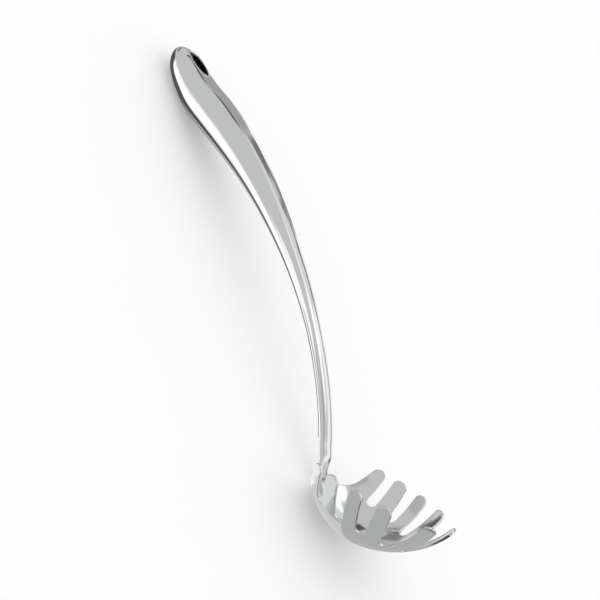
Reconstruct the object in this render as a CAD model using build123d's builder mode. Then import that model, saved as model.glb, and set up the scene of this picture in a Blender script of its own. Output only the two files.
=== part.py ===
from build123d import *
from math import atan2, cos, degrees, hypot, radians, sin, sqrt
import os

# Pasta server of polished stainless steel, all lengths in millimetres.
# It is drawn with the bowl level: X forward over the bowl, Y across, Z up, bowl centre at zero.
# At the end every piece is laid down on a table, on the bowl's rear wall and the handle's end.

# Bowl, an egg cut open at the top
bowl_front_reach = 56.0
bowl_rear_reach = 38.0
bowl_half_width = 29.6
bowl_depth = 40.9
sheet = 1.5

# Fingers and the slots between them
finger_width = 8.0
slot_width = 5.5
rear_rim_blend = 7.0
# Levels of tips, roots and rear rim down the bowl's depth, and their fall to the front
tip_level_share = 0.23716
tip_fall_share = 0.22
root_level_share = 0.72861
root_fall_share = 0.31
rear_rim_share = 0.44254
finger_side_angle = 58.0
finger_round_share = 0.45
rear_shoulder_share = 0.35
# Each finger's tip and each slot's root as a share of the bowl's rear or front reach
tip_shares = (-0.471, -0.14, 0.184, 0.47, 0.807)
root_shares = (-0.43, -0.055, 0.171, 0.343)

# Handle axis from the bowl centre back and up to the tip
handle_reach = 218.0
handle_rise = 199.5
axis_shares = (
    (1.0, 1.0),
    (0.913, 0.9),
    (0.866, 0.859),
    (0.815, 0.8245),
    (0.674, 0.722),
    (0.484, 0.541),
    (0.2716, 0.246),
    (0.1936, 0.0657),
    (0.166, -0.035),
)

axis_tip_angle = 46.5
axis_neck_angle = 76.5

# Handle body, a keystone section with a round back and a narrow front band between two creases
handle_thickness = 22.7
handle_width = 27.2
handle_sheet = 1.0
band_width = 11.0
crease_angle = 38.0
ease_share = 0.55
# Distance along the axis from the tip, then thickness, width, band width and crease lean
handle_shares = (
    (0.0006, 0.1, 0.1, 0.2, 0.25),
    (0.0053, 0.291, 0.291, 0.2, 0.25),
    (0.0213, 0.564, 0.565, 0.35, 0.4),
    (0.0497, 0.784, 0.785, 0.7, 0.7),
    (0.0977, 0.899, 0.9, 0.95, 1.0),
    (0.1439, 0.9736, 0.975, 1.0, 1.0),
    (0.19, 1.0, 1.0, 1.0, 1.0),
    (0.247, 0.969, 0.97, 0.95, 0.95),
    (0.3215, 0.872, 0.873, 0.8, 0.8),
    (0.4085, 0.714, 0.734, 0.6, 0.6),
    (0.515, 0.546, 0.574, 0.42, 0.4),
    (0.639, 0.389, 0.417, 0.28, 0.2),
    (0.7815, 0.295, 0.32, 0.12, 0.05),
)

# Neck shank, with its tang inside the handle and its leaf on the bowl
neck_thickness = 6.2
neck_width = 8.2
tang_length = 18.0
tang_clearance = 0.1
leaf = 2.0
leaf_width = 14.0
leaf_bury = 0.15
# Level of the leaf's rounded end down the bowl's depth
leaf_drop_share = 0.81907
# Distance along the axis, then thickness and width as shares of the neck's
neck_shares = (
    (0.855, 1.02, 1.02),
    (0.928, 1.0, 1.0),
    (1.0, 0.98, 1.0),
)
# Level down the bowl's rear wall, then thickness and width as shares of the neck's
shoulder_shares = (
    (0.318, 0.72, 1.15),
    (0.44, 0.36, 1.32),
    (0.53, 0.2, 1.0),
)

# Hanging hole and its sleeve
hole_length = 24.0
hole_width = 10.5
hole_from_tip = 21.5
hole_angle = 15.0
sleeve_wall = 0.9

# One overrun for every cut that has to pass right through
overrun = 30.0

tip_level = bowl_depth * tip_level_share
root_level = bowl_depth * root_level_share
rear_rim_level = bowl_depth * rear_rim_share
leaf_drop = bowl_depth * leaf_drop_share


def egg(grow):
    """Solid egg, the bowl's middle surface moved outwards by grow."""
    front = bowl_front_reach + grow
    rear = bowl_rear_reach + grow
    side = bowl_half_width + grow
    with BuildPart() as whole:
        with BuildSketch(Plane.XY):
            with BuildLine():
                EllipticalCenterArc((0, 0), front, side, start_angle=0, arc_size=90)
                EllipticalCenterArc((0, 0), rear, side, start_angle=90, arc_size=90)
                Line((-rear, 0), (front, 0))
            make_face()
        revolve(axis=Axis.X)
        scale(by=(1, 1, (bowl_depth + grow) / side))
    return whole.part


def reach_at(x):
    return bowl_front_reach if x > 0 else bowl_rear_reach


def wall_point(x, z, side):
    """Point of the bowl's middle surface above x and z, on the left or right side."""
    rest = 1 - (x / reach_at(x)) ** 2 - (z / bowl_depth) ** 2
    return Vector(x, side * bowl_half_width * sqrt(max(rest, 0)), z)


def wall_normal(point):
    return Vector(
        point.X / reach_at(point.X) ** 2,
        point.Y / bowl_half_width**2,
        point.Z / bowl_depth**2,
    ).normalized()


def across(direction, normal):
    """The part of direction that lies in the surface with that normal."""
    return (direction - normal * direction.dot(normal)).normalized()


def share_of_reach(share):
    return share * (bowl_front_reach if share > 0 else bowl_rear_reach)


def finger_tip(share, side):
    x = share_of_reach(share)
    return wall_point(x, -tip_level - tip_fall_share * x, side)


def slot_root(share, side):
    x = share_of_reach(share)
    return wall_point(x, -root_level - root_fall_share * x, side)


def front_root():
    """Where the slot plane meets the keel, at the root of the middle slot."""
    a = 1 / bowl_front_reach**2 + root_fall_share**2 / bowl_depth**2
    b = 2 * root_level * root_fall_share / bowl_depth**2
    c = root_level**2 / bowl_depth**2 - 1
    x = (sqrt(b * b - 4 * a * c) - b) / (2 * a)
    return Vector(x, 0, -root_level - root_fall_share * x)


tips = {side: [finger_tip(share, side) for share in tip_shares] for side in (-1, 1)}
roots = {side: [slot_root(share, side) for share in root_shares] for side in (-1, 1)}
slots = [
    (roots[side][i], tips[side][i], tips[side][i + 1])
    for side in (-1, 1)
    for i in range(len(root_shares))
]
slots.append((front_root(), tips[-1][-1], tips[1][-1]))


def slot_outline(root, tip_a, tip_b):
    """Face of a slot with a round root that opens out towards its mouth between two fingers."""
    mouth = (tip_a + tip_b) / 2
    normal = (wall_normal(root) + wall_normal(mouth)).normalized()
    up = across(mouth - root, normal)
    length = (mouth - root).length
    radius = slot_width / 2
    mouth_half = ((tip_b - tip_a).length - finger_width) / 2
    flare = (mouth_half - radius) / (length - radius)
    ease = atan2(flare, 1)
    start = Vector(radius - radius * sin(ease), radius * cos(ease))
    past = length + finger_width / 2
    lip = Vector(past, start.Y + (past - start.X) * flare)
    end = Vector(past + overrun, lip.Y)
    with BuildSketch(Plane(root, x_dir=up, z_dir=normal)) as outline:
        with BuildLine():
            ThreePointArc(start, (0, 0), (start.X, -start.Y))
            Polyline((start.X, -start.Y), (lip.X, -lip.Y), (end.X, -end.Y), end, lip, start)
        make_face()
    return outline.sketch


def tip_plane(finger, side):
    """Plane across a finger at its tip, with X through the sheet and Z along the finger."""
    tip = tips[side][finger]
    if finger == 0:
        base = roots[side][0]
    elif finger < len(root_shares):
        base = (roots[side][finger - 1] + roots[side][finger]) / 2
    else:
        base = (roots[side][-1] + front_root()) / 2
    normal = wall_normal(tip)
    return Plane(tip, x_dir=normal, z_dir=across(tip - base, normal))


with BuildPart() as bowl:
    add(egg(sheet / 2))
    add(egg(-sheet / 2), mode=Mode.SUBTRACT)
    rim_plane = Plane((0, 0, finger_width / 2 - tip_level), z_dir=(tip_fall_share, 0, 1))
    split(bisect_by=rim_plane, keep=Keep.BOTTOM)
    for slot in slots:
        extrude(slot_outline(*slot), amount=overrun / 2, both=True, mode=Mode.SUBTRACT)
    # Low rear rim, rising in a blend into the rear edge of the rearmost fingers
    rear_tip = tips[1][0]
    lean = radians(finger_side_angle)
    rise = rear_rim_level + rear_tip.Z
    foot_x = rear_tip.X - finger_width * rear_shoulder_share - rise * cos(lean) / sin(lean)
    with BuildSketch(Plane.XZ):
        with BuildLine():
            FilletPolyline(
                (-bowl_rear_reach - overrun, -rear_rim_level),
                (foot_x, -rear_rim_level),
                (foot_x + overrun * cos(lean), -rear_rim_level + overrun * sin(lean)),
                (-bowl_rear_reach - overrun, overrun),
                radius=rear_rim_blend,
                close=True,
            )
        make_face()
    extrude(amount=bowl_half_width + overrun, both=True, mode=Mode.SUBTRACT)
    # Finger ends, cut square across each finger and then rounded over its width
    for side in (-1, 1):
        for finger in range(len(tip_shares)):
            with BuildSketch(tip_plane(finger, side)):
                Rectangle(overrun / 2, finger_width * 2)
            extrude(amount=overrun, mode=Mode.SUBTRACT)
    for tip in tips[-1] + tips[1]:
        short = bowl.edges().filter_by(lambda edge: edge.length < sheet * 2)
        by_distance = short.sort_by_distance(tip)
        first = by_distance[0].center()
        second = next(edge for edge in by_distance if (edge.center() - first).length > sheet * 2)
        end_width = (second.center() - first).length
        fillet([by_distance[0], second], end_width * finger_round_share)

# Handle axis and the sections that stand on it
axis_points = [(-handle_reach * back, handle_rise * up) for back, up in axis_shares]
axis_ends = [(cos(radians(fall)), -sin(radians(fall))) for fall in (axis_tip_angle, axis_neck_angle)]
with BuildLine(Plane.XZ):
    axis = Spline(axis_points, tangents=axis_ends)

axis_length = axis.length


def station(distance):
    """Plane square to the handle's axis, X across the handle and Y to its front."""
    place = axis.position_at(distance, position_mode=PositionMode.LENGTH)
    along = axis.tangent_at(distance, position_mode=PositionMode.LENGTH)
    return Plane(place, x_dir=(0, 1, 0), z_dir=along)


def section(plane, thickness, width, band, lean, halves="front back"):
    """Keystone face: a round back, two easy sides and a flat front band, whole or half."""
    front = thickness / 2
    side = width / 2
    edge = band / 2
    reach = (side - edge) * ease_share
    lift = front * ease_share
    rise = front - reach * sin(radians(lean)) / cos(radians(lean))
    with BuildSketch(plane) as face:
        with BuildLine():
            if "back" in halves:
                EllipticalCenterArc((0, 0), side, front, start_angle=180, arc_size=180)
            else:
                Line((-side, 0), (side, 0))
            if "front" in halves:
                Bezier((side, 0), (side, lift), (edge + reach, rise), (edge, front))
                Line((edge, front), (-edge, front))
                Bezier((-edge, front), (-edge - reach, rise), (-side, lift), (-side, 0))
            else:
                Line((side, 0), (-side, 0))
        make_face()
    return face.sketch


def handle_section(share, thickness, width, band, lean, inset=0, halves="front back"):
    slim = handle_thickness * thickness - 2 * inset
    fit = slim / (handle_thickness * thickness)
    plane = station(axis_length * share)
    full = handle_width * width - 2 * inset
    return section(plane, slim, full, band_width * band * fit, crease_angle * lean, halves)


def shell_section(row, halves):
    """C-shaped face of one half shell, a sheet's thickness between its two outlines."""
    outline = handle_section(*row, 0, halves)
    hollow = handle_section(*row, handle_sheet, halves)
    return outline - hollow


def oval(plane, thickness, width):
    with BuildSketch(plane) as face:
        Ellipse(width / 2, thickness / 2)
    return face.sketch


# The handle's whole outer form, closed at the tip
with BuildPart() as handle_form:
    loft(sections=[handle_section(*row) for row in handle_shares])

# Hanging hole, through the handle's end from front to back
hole_station = station(hole_from_tip)
hole_turn = radians(hole_angle)
hole_way = hole_station.y_dir * cos(hole_turn) - hole_station.z_dir * sin(hole_turn)
hole_plane = Plane(hole_station.origin, x_dir=(0, 1, 0), z_dir=hole_way)

with BuildSketch(hole_plane) as hole_outline:
    Ellipse(hole_width / 2, hole_length / 2)

with BuildPart() as hang_hole_sleeve:
    with BuildSketch(hole_plane):
        Ellipse(hole_width / 2, hole_length / 2)
        Ellipse(hole_width / 2 - sleeve_wall, hole_length / 2 - sleeve_wall, mode=Mode.SUBTRACT)
    extrude(amount=overrun, both=True)
    add(handle_form.part, mode=Mode.INTERSECT)

# Closed nose, which the back shell carries round the handle's end
nose_row = 2
nose_plane = station(axis_length * handle_shares[nose_row][0])

with BuildPart() as handle_front_shell:
    loft(sections=[shell_section(row, "front") for row in handle_shares[nose_row:]])
    extrude(hole_outline.sketch, amount=overrun, both=True, mode=Mode.SUBTRACT)

with BuildPart() as handle_back_shell:
    add(split(handle_form.part, bisect_by=nose_plane, keep=Keep.BOTTOM, mode=Mode.PRIVATE))
    loft(sections=[shell_section(row, "back") for row in handle_shares[nose_row:]])
    extrude(hole_outline.sketch, amount=overrun, both=True, mode=Mode.SUBTRACT)


def shoulder_station(level, thickness):
    """Plane across the shank where it lies on the bowl's rear wall."""
    rear = bowl_rear_reach + sheet / 2
    depth = bowl_depth + sheet / 2
    wall = Vector(-rear * sqrt(1 - (level / depth) ** 2), 0, -level)
    outward = Vector(wall.X / rear**2, 0, wall.Z / depth**2).normalized()
    place = wall + outward * (leaf - leaf_bury - thickness / 2)
    return Plane(place, x_dir=(0, 1, 0), z_dir=(-outward.Z, 0, outward.X))


joint = handle_shares[-1]
joint_plane = station(axis_length * joint[0])
shank_faces = [oval(joint_plane, handle_thickness * joint[1], handle_width * joint[2])]
for share, thickness, width in neck_shares:
    plane = station(axis_length * share)
    shank_faces.append(oval(plane, neck_thickness * thickness, neck_width * width))
shoulder_faces = shank_faces[-1:]
for level, thickness, width in shoulder_shares:
    plane = shoulder_station(bowl_depth * level, neck_thickness * thickness)
    shoulder_faces.append(oval(plane, neck_thickness * thickness, neck_width * width))

# Leaf that follows the bowl's rear wall
leaf_half = leaf_width / 2
leaf_top = bowl_depth * shoulder_shares[0][0]
with BuildPart() as leaf_form:
    add(egg(sheet / 2 + leaf))
    add(egg(sheet / 2), mode=Mode.SUBTRACT)
    with BuildSketch(Plane.YZ):
        with BuildLine():
            CenterArc((0, leaf_half - leaf_drop), leaf_half, 180, 180)
            Line((leaf_half, leaf_half - leaf_drop), (leaf_half, -rear_rim_level))
            Line((leaf_half, -rear_rim_level), (neck_width / 2, -leaf_top))
            Line((neck_width / 2, -leaf_top), (-neck_width / 2, -leaf_top))
            Line((-neck_width / 2, -leaf_top), (-leaf_half, -rear_rim_level))
            Line((-leaf_half, -rear_rim_level), (-leaf_half, leaf_half - leaf_drop))
        make_face()
    extrude(amount=-bowl_rear_reach - overrun, mode=Mode.INTERSECT)

with BuildPart() as neck_shank:
    loft(sections=shank_faces)
    loft(sections=shoulder_faces)
    add(leaf_form.part)
    add(bowl.part, mode=Mode.SUBTRACT)
    # Tang inside the handle's narrow end
    slack = 2 * (handle_sheet + tang_clearance)
    tang_plane = station(axis_length * joint[0] - tang_length)
    thick = handle_thickness * joint[1] - slack
    wide = handle_width * joint[2] - slack
    loft(sections=[oval(tang_plane, thick, wide), oval(joint_plane, thick, wide)])


# The rest on a table: the tilt at which leaf and handle's end are equally low
def bowl_drop(tilt):
    rear = bowl_rear_reach + sheet / 2 + leaf
    depth = bowl_depth + sheet / 2 + leaf
    return hypot(rear * sin(tilt), depth * cos(tilt))


def handle_drop(tilt):
    drops = []
    for row in handle_shares:
        plane = station(axis_length * row[0])
        back = plane.origin - plane.y_dir * (handle_thickness * row[1] / 2)
        drops.append(-back.X * sin(tilt) - back.Z * cos(tilt))
    return max(drops)


low_tilt, high_tilt = 0.0, radians(90)
for _ in range(60):
    tilt = (low_tilt + high_tilt) / 2
    if handle_drop(tilt) > bowl_drop(tilt):
        high_tilt = tilt
    else:
        low_tilt = tilt

pieces = {
    "bowl": bowl,
    "neck_shank": neck_shank,
    "handle_front_shell": handle_front_shell,
    "handle_back_shell": handle_back_shell,
    "hang_hole_sleeve": hang_hole_sleeve,
}
laid = Rotation(0, -degrees(tilt), 0)
box = Compound([piece.part.moved(laid) for piece in pieces.values()]).bounding_box()
rest = Location((-box.center().X, -box.center().Y, -box.min.Z)) * laid

os.makedirs("parts", exist_ok=True)
for name, piece in pieces.items():
    piece.part = piece.part.moved(rest)
    piece.part.label = name
    export_step(piece.part, f"parts/{name}.step")
    print(name, len(piece.part.solids()), piece.part.is_valid, round(piece.part.volume))
print("tilt", degrees(tilt), "shift", tuple(rest.position), "size", box.size)
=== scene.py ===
# %% [markdown]
# # A polished steel pasta server
#
# This file dresses the pasta server's solid model. The solids say where every piece is. Here
# each piece is made again as a finer mesh, because a mirror finish shows every flat facet, and
# then gets its steel, its table, its lights and its camera.

# %% Load the solid model
import math

import bmesh
import bpy
import numpy as np
from mathutils import Matrix, Vector, geometry, kdtree
from mathutils.bvhtree import BVHTree


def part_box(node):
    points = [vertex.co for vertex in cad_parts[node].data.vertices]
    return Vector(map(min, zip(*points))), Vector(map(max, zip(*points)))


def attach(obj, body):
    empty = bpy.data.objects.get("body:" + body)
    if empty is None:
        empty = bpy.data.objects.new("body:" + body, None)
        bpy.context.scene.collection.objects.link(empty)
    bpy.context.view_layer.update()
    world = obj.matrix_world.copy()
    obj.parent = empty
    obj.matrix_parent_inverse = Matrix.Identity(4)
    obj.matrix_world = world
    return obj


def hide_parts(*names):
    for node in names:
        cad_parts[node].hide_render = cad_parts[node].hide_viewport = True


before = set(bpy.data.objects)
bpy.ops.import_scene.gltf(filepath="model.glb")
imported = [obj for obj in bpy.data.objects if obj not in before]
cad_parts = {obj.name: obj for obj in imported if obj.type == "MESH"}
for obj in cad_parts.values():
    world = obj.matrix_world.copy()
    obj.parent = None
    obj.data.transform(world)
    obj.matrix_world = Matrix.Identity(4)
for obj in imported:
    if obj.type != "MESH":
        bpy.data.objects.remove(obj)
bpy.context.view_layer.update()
print("solid pieces:", sorted(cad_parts))

# %% [markdown]
# ## One shared frame
#
# The server is easiest to describe with its bowl level: X runs forward over the bowl, Y across
# and Z up, with zero at the bowl's centre and lengths in millimetres. It lies on the table on
# its back, so all points are tilted and moved once, at the very end. The tilt is a size of the
# object. The move is measured: it brings the bowl's mesh onto the solid bowl's box.

# %% Bowl frame to table frame
MM = 0.001
lie_tilt = math.radians(48.885)
lie_shift = np.zeros(3)


def turned(points):
    """Directions or points of the bowl frame, tilted as the server lies."""
    points = np.asarray(points, float)
    x, y, z = points[..., 0], points[..., 1], points[..., 2]
    tilt_cos, tilt_sin = math.cos(lie_tilt), math.sin(lie_tilt)
    return np.stack([x * tilt_cos - z * tilt_sin, y, x * tilt_sin + z * tilt_cos], -1)


def laid(points):
    """Points of the bowl frame in millimetres, as the server lies, in metres."""
    return (turned(points) + lie_shift) * MM


print("the server lies tilted by degrees:", round(math.degrees(lie_tilt), 3))

# %% [markdown]
# ## The bowl's surface
#
# The bowl is a sheet pressed over an egg: two half ellipsoids that meet at the widest line. A
# subdivided cage could give the shape, but it leaves small ripples, and a mirror magnifies them.
# A formula gives every point and its exact normal instead. The egg is charted on a flat disc by
# stereographic projection, which keeps small shapes undistorted, so the fingers can be cut out
# of the disc as a flat outline and then be laid on the egg.

# %% Egg formulas
bowl_front_reach = 56.0
bowl_rear_reach = 38.0
bowl_half_width = 29.6
bowl_depth = 40.9
sheet = 1.5
newton_steps = 12


def egg_axes(points):
    """The three half axes that hold at each point, front or rear."""
    reach = np.where(points[..., 0] > 0, bowl_front_reach, bowl_rear_reach)
    side = np.full_like(reach, bowl_half_width)
    depth = np.full_like(reach, bowl_depth)
    return np.stack([reach, side, depth], -1)


def egg_normal(points):
    """Exact outward normals of the egg."""
    normal = points / egg_axes(points) ** 2
    return normal / np.linalg.norm(normal, axis=-1, keepdims=True)


def onto_egg(points, ways):
    """Moves points along the given ways until they lie on the egg, by Newton's method."""
    points = np.array(points, float)
    ways = np.broadcast_to(np.asarray(ways, float), points.shape)
    for _ in range(newton_steps):
        axes = egg_axes(points)
        miss = ((points / axes) ** 2).sum(-1) - 1
        slope = 2 * (points * ways / axes**2).sum(-1)
        points = points - ways * (miss / slope)[..., None]
    return points


def disc_of(points):
    """Stereographic chart of the egg: the keel is at the disc's centre."""
    on_sphere = points / egg_axes(points)
    return on_sphere[..., :2] / (1 - on_sphere[..., 2:])


def egg_of(disc):
    """The way back, from the chart to the egg."""
    spread = (disc**2).sum(-1, keepdims=True)
    on_sphere = np.concatenate([2 * disc, spread - 1], -1) / (1 + spread)
    return on_sphere * egg_axes(on_sphere)


print("egg half axes mm:", bowl_front_reach, bowl_rear_reach, bowl_half_width, bowl_depth)

# %% [markdown]
# ## Fingers and slots
#
# On the real server a stamp cuts the slots, and the blank is pressed after that. The finger tips
# lie on one sloping plane and the slot roots on another. Each slot is drawn flat at its place, a
# round root with two sides that spread towards the mouth, and is pressed onto the egg. A finger
# is what two slots leave, and its end is rounded between its two flanks. Cutting the slots with
# Booleans would be shorter, but would leave long thin faces that show in the polish.

# %% Tips and roots
finger_width = 8.0
slot_width = 5.5
tip_level, tip_fall_share = 9.7, 0.22
root_level, root_fall_share = 29.8, 0.31
tip_shares = (-0.471, -0.14, 0.184, 0.47, 0.807)
root_shares = (-0.43, -0.055, 0.171, 0.343)
finger_round_share = 0.45
rear_rim_level = 18.1
rear_rim_blend = 7.0
rear_shoulder_share = 0.35
finger_side_lean = math.radians(58.0)


def unit(vector):
    """The vector's direction, one long."""
    return vector / np.linalg.norm(vector)


def wall_point(share, level, fall, side):
    """Point of the middle surface at a share of its reach, on a plane that falls forwards."""
    reach = bowl_front_reach if share > 0 else bowl_rear_reach
    x = share * reach
    z = -level - fall * x
    rest = 1 - (x / reach) ** 2 - (z / bowl_depth) ** 2
    return np.array([x, side * bowl_half_width * math.sqrt(max(rest, 0)), z])


def front_root():
    """Where the plane of the roots meets the keel."""
    a = 1 / bowl_front_reach**2 + root_fall_share**2 / bowl_depth**2
    b = 2 * root_level * root_fall_share / bowl_depth**2
    c = root_level**2 / bowl_depth**2 - 1
    x = (math.sqrt(b * b - 4 * a * c) - b) / (2 * a)
    return np.array([x, 0, -root_level - root_fall_share * x])


near, far = -1, 1
tips = {side: [wall_point(share, tip_level, tip_fall_share, side) for share in tip_shares]
        for side in (near, far)}
roots = {side: [wall_point(share, root_level, root_fall_share, side) for share in root_shares]
         for side in (near, far)}
print("finger tips, far side, mm:", [tuple(round(float(c), 1) for c in t) for t in tips[far]])

# %% [markdown]
# A slot's flank runs straight in the slot's own plane. `slot_sides` gives both flanks and the
# root's arc as points on the egg, from the mouth down on one side and up again on the other. The
# flanks run on past the finger tips, so that the round ends can be cut into them.

# %% Slot outline on the egg
# How many points draw a slot's flank, its root, a finger's round corner, and the rear rim
flank_points, root_points, fillet_points = 60, 35, 20
blend_points, rim_points = 14, 60
slot_overrun_share = 1.35
rear_flank_climb = 40.0
least_spacing = 0.08


def slot_sides(root, tip_a, tip_b):
    """Left flank from mouth to root, the root's arc, and the right flank from root to mouth."""
    mouth = (tip_a + tip_b) / 2
    normal = unit(egg_normal(root) + egg_normal(mouth))
    up = unit(mouth - root - normal * np.dot(mouth - root, normal))
    side = np.cross(normal, up)
    length = np.linalg.norm(mouth - root)
    radius = slot_width / 2
    half_mouth = (np.linalg.norm(tip_b - tip_a) - finger_width) / 2
    flare = (half_mouth - radius) / (length - radius)
    ease = math.atan(flare)
    along = np.linspace(slot_overrun_share * length, radius - radius * math.sin(ease), flank_points)
    across = radius * math.cos(ease) + (along - along[-1]) * flare
    turn = np.linspace(math.pi / 2 + ease, 3 * math.pi / 2 - ease, root_points)[1:-1]
    arc_along = radius + radius * np.cos(turn)
    arc_across = radius * np.sin(turn)
    along = np.concatenate([along, arc_along, along[::-1]])
    across = np.concatenate([across, arc_across, -across[::-1]])
    flat = root + along[:, None] * up + across[:, None] * side
    return onto_egg(flat, normal), side


# %% A finger's round end
def flank_cut(flank, tip, way):
    """Cuts a flank, given from its end down, at the plane across the finger's tip."""
    height = (flank - tip) @ way
    last = int(np.argmax(height < 0))
    high, low = flank[last - 1], flank[last]
    share = height[last - 1] / (height[last - 1] - height[last])
    return high + (low - high) * share, flank[last:]


def round_end(tip, way, normal, flank_a, flank_b):
    """The finger's end from flank a to flank b: fillets of its own width at both corners."""
    across = np.cross(way, normal)
    corner_a, rest_a = flank_cut(flank_a, tip, way)
    corner_b, rest_b = flank_cut(flank_b, tip, way)
    radius = np.linalg.norm(corner_a - corner_b) * finger_round_share
    arcs = []
    for corner, rest in ((corner_a, rest_a), (corner_b, rest_b)):
        below = rest[np.argmin(np.abs(np.linalg.norm(rest - corner, axis=1) - radius))]
        top = np.array([np.dot(corner - tip, across), 0.0])
        foot = np.array([np.dot(below - tip, across), np.dot(below - tip, way)])
        down = unit(foot - top)
        inward = np.array([-np.sign(top[0]), 0.0])
        bisector = unit(down + inward)
        half_angle = math.acos(np.clip(np.dot(down, inward), -1, 1)) / 2
        centre = top + bisector * radius / math.sin(half_angle)
        start = top + down * radius / math.tan(half_angle)
        end = top + inward * radius / math.tan(half_angle)
        angles = [math.atan2(*(p - centre)[::-1]) for p in (start, end)]
        sweep = (angles[1] - angles[0] + math.pi) % (2 * math.pi) - math.pi
        turn = angles[0] + np.linspace(0, sweep, fillet_points)
        arc = centre + radius * np.stack([np.cos(turn), np.sin(turn)], 1)
        solid = tip + arc[:, :1] * across + arc[:, 1:] * way
        keep = rest[(rest - tip) @ way < start[1]]
        arcs.append((onto_egg(solid, normal), keep))
    (arc_a, keep_a), (arc_b, keep_b) = arcs
    return keep_a[::-1], np.concatenate([arc_a, arc_b[::-1]]), keep_b


# %% [markdown]
# The outline is drawn for one half, from the middle of the low rear rim to the middle of the
# front slot, and mirrored. Each point then gets the direction that leads out of the sheet, which
# the rounded edge needs.


# %% The bowl's outline
def slot_halves(root, tip_a, tip_b):
    """The slot's flank at tip a, its root's arc and its flank at tip b, flanks from the top."""
    line, side = slot_sides(root, tip_a, tip_b)
    if np.dot(tip_b - tip_a, side) > 0:
        line = line[::-1]
    return line[:flank_points], line[flank_points:-flank_points], line[-flank_points:][::-1]


def rear_edge(tip):
    """Half of the rear rim with its blend, and the line up the rearmost finger from the top."""
    rise = rear_rim_level + tip[2]
    foot = tip[0] - finger_width * rear_shoulder_share - rise / math.tan(finger_side_lean)
    setback = rear_rim_blend * math.tan(finger_side_lean / 2)
    climb = np.linspace(rear_flank_climb, setback, flank_points)
    edge_x = foot + climb * math.cos(finger_side_lean)
    edge_z = -rear_rim_level + climb * math.sin(finger_side_lean)
    turn = np.linspace(0, finger_side_lean, blend_points)[:-1]
    blend_x = foot - setback + rear_rim_blend * np.sin(turn)
    blend_z = rear_rim_blend * (1 - np.cos(turn)) - rear_rim_level
    ring = math.sqrt(1 - (rear_rim_level / bowl_depth) ** 2)
    last = math.acos((setback - foot) / (bowl_rear_reach * ring))
    rim_x = -bowl_rear_reach * ring * np.cos(np.linspace(0, last, rim_points)[:-1])
    rim_z = np.full_like(rim_x, -rear_rim_level)

    def on_wall(x, z):
        rest = 1 - (x / bowl_rear_reach) ** 2 - (z / bowl_depth) ** 2
        return np.stack([x, bowl_half_width * np.sqrt(np.clip(rest, 0, None)), z], 1)

    low = on_wall(np.concatenate([rim_x, blend_x]), np.concatenate([rim_z, blend_z]))
    return low, on_wall(edge_x, edge_z)


def half_outline():
    """Outline of the far half: low rear rim, then finger, slot, finger and so on to the front."""
    tip, root = tips[far], roots[far]
    low, flank = rear_edge(tip[0])
    middle = front_root()
    slots = [slot_halves(root[i], tip[i], tip[i + 1]) for i in range(len(root))]
    slots.append(slot_halves(middle, tip[-1], tips[near][-1]))
    bases = [root[0]] + [(a + b) / 2 for a, b in zip(root, root[1:])] + [(root[-1] + middle) / 2]
    line = [low]
    for i, (flank_b, arc, next_flank) in enumerate(slots):
        normal = egg_normal(tip[i])
        way = unit(tip[i] - bases[i] - normal * np.dot(tip[i] - bases[i], normal))
        line += round_end(tip[i], way, normal, flank, flank_b)
        line.append(arc if i < len(root) else arc[: len(arc) // 2 + 1])
        flank = next_flank
    return np.concatenate(line)


def spaced(line):
    """Drops points that nearly coincide with the one before them."""
    kept = [line[0]]
    for point in line[1:]:
        if np.linalg.norm(point - kept[-1]) > least_spacing:
            kept.append(point)
    return np.array(kept)


# %% Mirror the outline
half = spaced(half_outline())
half[0, 1] = half[-1, 1] = 0
outline = np.concatenate([half, half[-2:0:-1] * (1, -1, 1)])
edge_normal = egg_normal(outline)
run = np.roll(outline, -1, 0) - np.roll(outline, 1, 0)
edge_out = np.cross(run, edge_normal)
edge_out /= np.linalg.norm(edge_out, axis=1, keepdims=True)
keel = np.array([0, 0, -bowl_depth])
if np.dot(edge_out[0], outline[0] - keel) < 0:
    edge_out = -edge_out
outline_length = np.linalg.norm(run, axis=1).sum() / 2
print("outline points:", len(outline), "length mm:", round(float(outline_length)))

# %% [markdown]
# ## Steel sheet from an outline
#
# Inside the outline the disc is filled with evenly spread points and joined by Delaunay
# triangles. Every point gives one corner on the outside of the sheet and one on the inside. A
# Solidify modifier could thicken the sheet, but its rims are square. Here the polished edge is a
# flat with two rounded corners, as a stamped and tumbled blank has. The normals come from the
# formulas, so the mirror has no facets.


# %% Mesh helper with exact normals
def placed(name, data):
    """A new object in the scene that carries a mesh or a camera."""
    made = bpy.data.objects.new(name, data)
    bpy.context.collection.objects.link(made)
    return made


def steel_mesh(name, points, faces, normals=None):
    """A smooth mesh as the server lies, from points and normals in the bowl frame."""
    mesh = bpy.data.meshes.new(name)
    corners = [tuple(point) for point in laid(points)]
    mesh.from_pydata(corners, [], [tuple(int(i) for i in face) for face in faces])
    mesh.update()
    mesh.shade_smooth()
    if normals is not None:
        mesh.normals_split_custom_set_from_vertices([tuple(n) for n in turned(normals)])
    return placed(name, mesh)


# %% Fill the disc
def inside(loop, points):
    """Which points of the disc lie inside a closed loop, by counting crossings."""
    hit = np.zeros(len(points), bool)
    for a, b in zip(loop, np.roll(loop, -1, 0)):
        if a[1] != b[1]:
            spans = (a[1] > points[:, 1]) != (b[1] > points[:, 1])
            crossing = (b[0] - a[0]) * (points[:, 1] - a[1]) / (b[1] - a[1]) + a[0]
            hit ^= spans & (points[:, 0] < crossing)
    return hit


edge_round = 0.5
# Step and reach of the filling points on the disc, whose rim is 1 from its centre
fill_step = 0.024
fill_reach = 1.1
rim_clear_share = 0.45
# The triangulation's output type 1 is the inside alone, and points as near as this are one
keep_inside, merge_within = 1, 1e-7

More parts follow.
